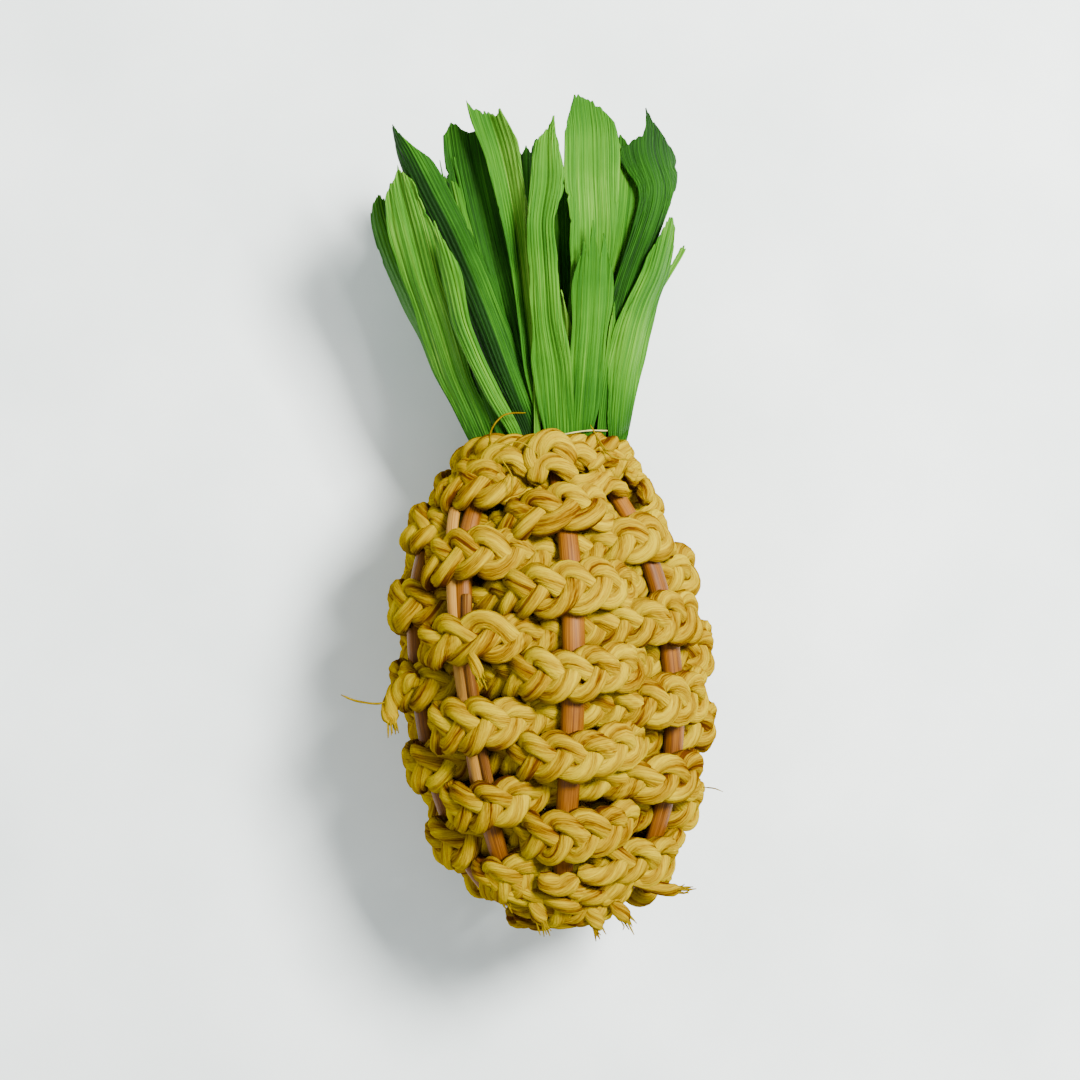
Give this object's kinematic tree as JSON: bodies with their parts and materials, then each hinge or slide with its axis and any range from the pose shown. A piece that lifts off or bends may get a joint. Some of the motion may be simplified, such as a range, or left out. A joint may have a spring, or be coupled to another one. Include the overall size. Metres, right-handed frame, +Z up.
{
  "type": "woven toy",
  "caption": "pineapple-shaped woven pet toy: a plaited yellow cord woven over rattan ribs, with a crown of dried green husk leaves, lying on its side",
  "frame": {"origin": "on the floor, under the middle of the toy as it lies on its side", "axes": "+Z up, out of the side of the toy that faces up; +Y along the toy's long axis, from the closed end to the crown; +X to the right, seen from above with the crown away from the viewer"},
  "size_m": [0.0662, 0.1648, 0.0649],
  "materials": {
    "plait": "loosely twisted, slightly shiny dyed fibre",
    "rattan": "satin, uncoated",
    "peeled_cane": "matt, peeled",
    "husk": "dry, papery, ribbed by its veins",
    "thread": "fine, matt"
  },
  "bodies": {
    "root": {"base_coil": "plait", "binding_thread": "thread", "leaf_back_1": "husk", "leaf_back_2": "husk", "leaf_back_3": "husk", "leaf_back_4": "husk", "leaf_back_5": "husk", "leaf_back_6": "husk", "leaf_centre_right": "husk", "leaf_centre_sharp": "husk", "leaf_centre_tall": "husk", "leaf_core_back_left": "husk", "leaf_core_back_right": "husk", "leaf_core_left": "husk", "leaf_core_right": "husk", "leaf_inner_1": "husk", "leaf_inner_2": "husk", "leaf_inner_3": "husk", "leaf_inner_4": "husk", "leaf_left_folded": "husk", "leaf_left_front": "husk", "leaf_left_narrow": "husk", "leaf_left_outer": "husk", "leaf_left_slim": "husk", "leaf_left_wide": "husk", "leaf_middle_1": "husk", "leaf_middle_2": "husk", "leaf_middle_3": "husk", "leaf_middle_4": "husk", "leaf_right_curled": "husk", "leaf_right_front": "husk", "leaf_right_inner": "husk", "leaf_right_striped": "husk", "neck_loop": "plait", "plait_1": "plait", "plait_2": "plait", "plait_3": "plait", "plait_4": "plait", "plait_5": "plait", "rib_1": "rattan", "rib_2": "rattan", "rib_3": "rattan", "rib_4": "rattan", "rib_5": "rattan", "rib_6": "rattan", "rib_7": "rattan", "rib_8": "rattan", "rib_9": "rattan", "splint_long": "peeled_cane", "splint_short": "peeled_cane"}
  },
  "joints": []
}
